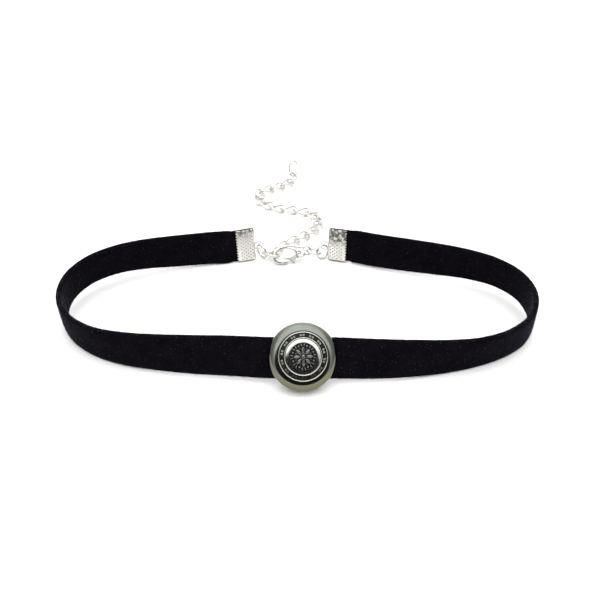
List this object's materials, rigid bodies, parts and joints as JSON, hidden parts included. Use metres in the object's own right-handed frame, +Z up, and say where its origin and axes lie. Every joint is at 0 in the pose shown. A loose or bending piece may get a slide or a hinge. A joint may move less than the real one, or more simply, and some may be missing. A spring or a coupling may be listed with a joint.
{
  "type": "choker necklace",
  "caption": "Velvet ribbon choker with a domed metal button, toothed end clamps, a lobster clasp and an extension chain, lying fastened on a flat surface.",
  "frame": {"origin": "middle of the necklace's footprint, on the surface that it lies on", "axes": "+Z up through the loop, the button faces -Y, the extension chain trails off to +Y, the clasp's hook end is towards -X"},
  "size_m": [0.1304, 0.1272, 0.0152],
  "materials": {
    "velvet": "black short-pile velvet",
    "gunmetal": "polished dark grey metal, blackened in the low relief",
    "silver": "bright silver-tone plating",
    "thread": "black sewing thread"
  },
  "bodies": {
    "choker": {"ribbon": "velvet", "button": "gunmetal", "button_thread": "thread", "left_clamp": "silver", "right_clamp": "silver", "left_ring": "silver", "right_ring": "silver", "tail_ring": "silver", "clasp_body": "silver", "clasp_rivet": "silver", "chain_link_01": "silver", "chain_link_02": "silver", "chain_link_03": "silver", "chain_link_04": "silver", "chain_link_05": "silver", "chain_link_06": "silver", "chain_link_07": "silver", "chain_link_08": "silver", "chain_link_09": "silver", "chain_link_10": "silver", "chain_link_11": "silver", "chain_link_12": "silver", "chain_link_13": "silver", "chain_link_14": "silver", "chain_link_15": "silver", "chain_link_16": "silver", "chain_link_17": "silver", "chain_link_18": "silver", "chain_link_19": "silver", "chain_end_link": "silver"},
    "clasp_lever": {"clasp_lever": "silver"}
  },
  "joints": [
    {"name": "clasp_lever_hinge", "type": "hinge", "parent": "choker", "child": "clasp_lever", "pos_m": [0.00045, 0.00101, 0.00273], "axis": [-0.1235, 0.8083, -0.5757], "range_deg": [0, 20], "stiffness_Nm_per_rad": 0.004, "springref_deg": -17.19}
  ]
}
